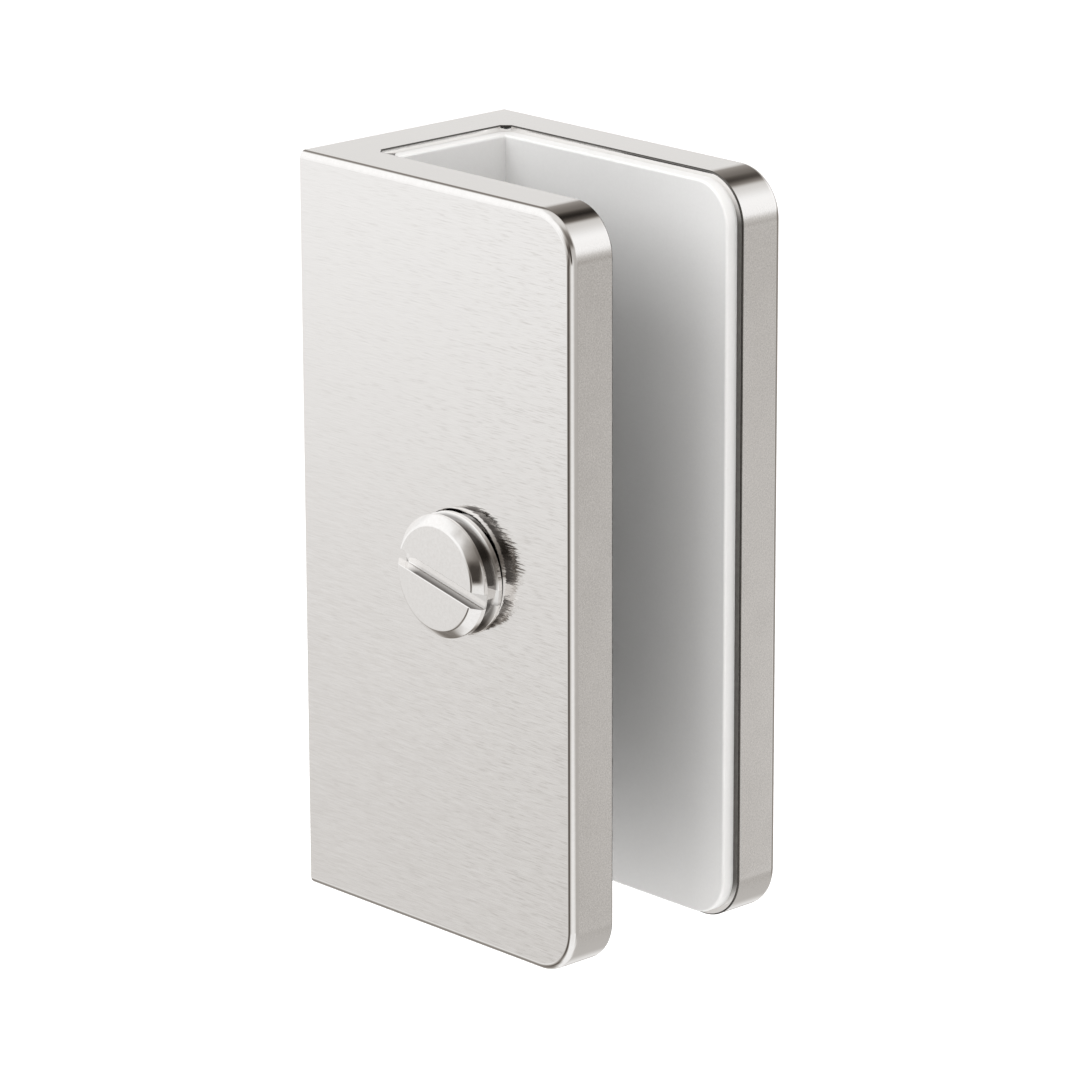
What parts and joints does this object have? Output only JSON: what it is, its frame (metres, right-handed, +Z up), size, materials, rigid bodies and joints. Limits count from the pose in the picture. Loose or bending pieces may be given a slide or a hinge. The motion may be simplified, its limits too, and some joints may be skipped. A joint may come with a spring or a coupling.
{
  "type": "glass u-bracket",
  "caption": "Wall-mounted brushed metal U-shaped channel that grips the edge of a glass panel between a soft lining and a padded plate pressed by a slotted clamp screw.",
  "frame": {"origin": "centre of the flat wall face of the web", "axes": "+X from the wall to the open side of the channel, +Y across the channel from the leg with the screw to the lined leg, +Z up along the glass edge"},
  "size_m": [0.0305, 0.0246, 0.06],
  "materials": {
    "channel_metal": "brushed satin, with polished edges",
    "screw_metal": "polished",
    "plate_metal": "plain",
    "liner_vinyl": "smooth pale vinyl",
    "pad_rubber": "smooth dark rubber"
  },
  "bodies": {
    "bracket": {"u_body": "channel_metal", "channel_liner": "liner_vinyl"},
    "clamp": {"pressure_plate": "plate_metal", "clamp_pad": "pad_rubber"},
    "screw": {"clamp_screw": "screw_metal"}
  },
  "joints": [
    {"name": "clamp_slide", "type": "slide", "parent": "bracket", "child": "clamp", "axis": [0, 1, 0], "range_m": [0, 0.0025]},
    {"name": "screw_turn", "type": "hinge", "parent": "clamp", "child": "screw", "pos_m": [0.0179, -0.01355, 0], "axis": [0, 1, 0], "range_deg": [0, 600]}
  ],
  "couplings": [
    {"joint": "screw_turn", "follows": "clamp_slide", "rad_per_m": 4188.8}
  ]
}
